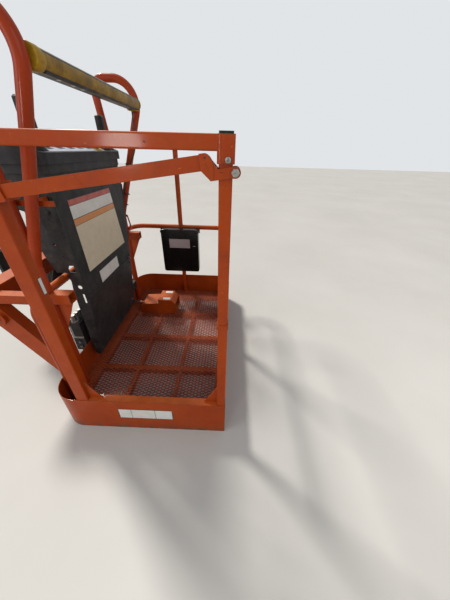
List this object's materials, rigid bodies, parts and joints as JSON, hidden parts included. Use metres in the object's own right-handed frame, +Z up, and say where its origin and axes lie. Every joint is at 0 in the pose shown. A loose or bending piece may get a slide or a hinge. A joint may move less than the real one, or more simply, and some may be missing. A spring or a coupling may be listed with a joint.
{
  "type": "work platform (basket) of an articulating boom lift",
  "caption": "Open steel work platform with guard rails, sliding entry bar, control console between padded hoops, foot switch and a swing bracket for the jib.",
  "frame": {"origin": "middle of the floor frame's underside", "axes": "+X away from the boom side, +Y away from the entry, +Z up"},
  "size_m": [1.3623, 1.2295, 1.419],
  "materials": {
    "black_plastic": "matt",
    "black_steel": "satin",
    "box_plastic": "textured",
    "cable": "matt",
    "console_plastic": "textured",
    "hoop_paint": "satin",
    "hose_fittings": "plated",
    "mesh_steel": "worn",
    "orange": "satin",
    "yellow_pad": "matt",
    "zinc": "zinc plated"
  },
  "bodies": {
    "platform": {"anchor_points": "orange", "bar_stop": "orange", "brace_far": "orange", "brace_near": "orange", "console_cover": "console_plastic", "console_head": "console_plastic", "console_housing": "console_plastic", "console_shelves": "orange", "console_sides": "black_steel", "control_sticks": "black_plastic", "document_box": "box_plastic", "entry_post_left": "orange", "entry_post_right": "orange", "entry_step": "orange", "entry_top_rail": "orange", "far_stile": "orange", "floor_frame": "orange", "floor_mesh": "mesh_steel", "foot_switch_cable": "cable", "foot_switch_hood": "orange", "foot_switch_housing": "orange", "foot_switch_pedal": "black_plastic", "hoop_far": "hoop_paint", "hoop_near": "hoop_paint", "hoop_tabs": "orange", "hose_fittings": "hose_fittings", "mid_rail_far": "orange", "mid_rail_left": "orange", "mid_rail_right": "orange", "post_cap": "black_plastic", "post_gussets": "orange", "right_stile": "orange", "rotator_body": "black_steel", "rotator_plate": "black_steel", "sensor_cable": "cable", "sensor_caps": "yellow_pad", "sensor_channel": "black_steel", "sensor_pad": "yellow_pad", "support_cross_tube": "orange", "toe_board_far": "orange", "toe_board_left": "orange", "toe_board_near": "orange", "toe_board_right": "orange", "top_rail_far": "orange", "top_rail_left": "orange", "top_rail_right": "orange", "valve_block": "black_steel"},
    "bar_guide": {"guide_bolt": "zinc"},
    "entry_bar_assembly": {"entry_bar": "orange", "entry_bar_bracket": "orange", "entry_bar_hanger": "orange"},
    "document_box_lid": {"document_lid": "box_plastic"},
    "swing_bracket": {"jib_ears": "black_steel", "swing_frame": "black_steel"}
  },
  "joints": [
    {"name": "bar_slide", "type": "slide", "parent": "platform", "child": "bar_guide", "axis": [0, 0, 1], "range_m": [-0.4255, 0]},
    {"name": "bar_tilt", "type": "hinge", "parent": "bar_guide", "child": "entry_bar_assembly", "pos_m": [0.3833, -0.591, 1.055], "axis": [0, 1, 0], "range_deg": [0, 8.4]},
    {"name": "lid_hinge", "type": "hinge", "parent": "platform", "child": "document_box_lid", "pos_m": [0, 0.5637, 0.588], "axis": [-1, 0, 0], "range_deg": [0, 80]},
    {"name": "platform_swing", "type": "hinge", "parent": "platform", "child": "swing_bracket", "pos_m": [-0.752, 0.02, 0.485], "axis": [0, 0, 1], "range_deg": [-85, 85]}
  ],
  "couplings": [
    {"joint": "bar_tilt", "follows": "bar_slide", "rad_per_m": -0.34455}
  ]
}
